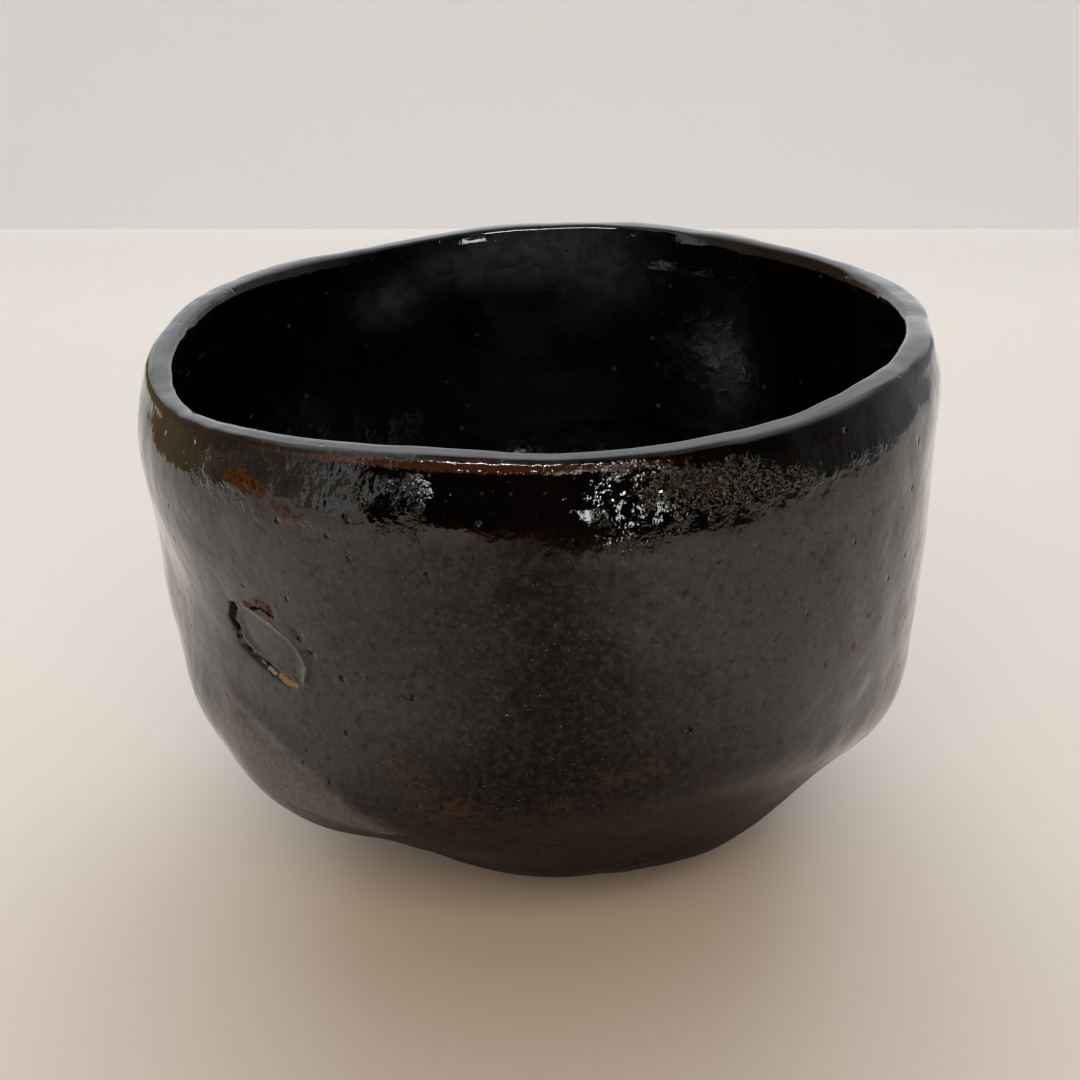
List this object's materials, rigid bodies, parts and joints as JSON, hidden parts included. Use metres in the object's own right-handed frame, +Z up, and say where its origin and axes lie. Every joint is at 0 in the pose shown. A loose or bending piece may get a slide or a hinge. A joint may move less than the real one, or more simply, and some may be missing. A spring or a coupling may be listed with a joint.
{
  "type": "tea bowl",
  "caption": "Hand-built round tea bowl with an undulating rounded lip, a deep open well, a soft hip and a carved foot ring, clay under a glossy black glaze.",
  "frame": {"origin": "middle of the bowl in plan, on the surface that its foot ring stands on", "axes": "+Z up out of the well; +X towards the higher side of the lip; -Y is the front, with the tong mark at its left"},
  "size_m": [0.1206, 0.121, 0.0865],
  "materials": {
    "clay": "bare low-fired clay, matt and slightly gritty",
    "outer_glaze": "glossy black lead-style glaze with rust patches and pinholes",
    "inner_glaze": "glossy black glaze with a few tiny brown specks"
  },
  "bodies": {
    "root": {"clay_body": "clay", "outer_glaze": "outer_glaze", "inner_glaze": "inner_glaze"}
  },
  "joints": []
}
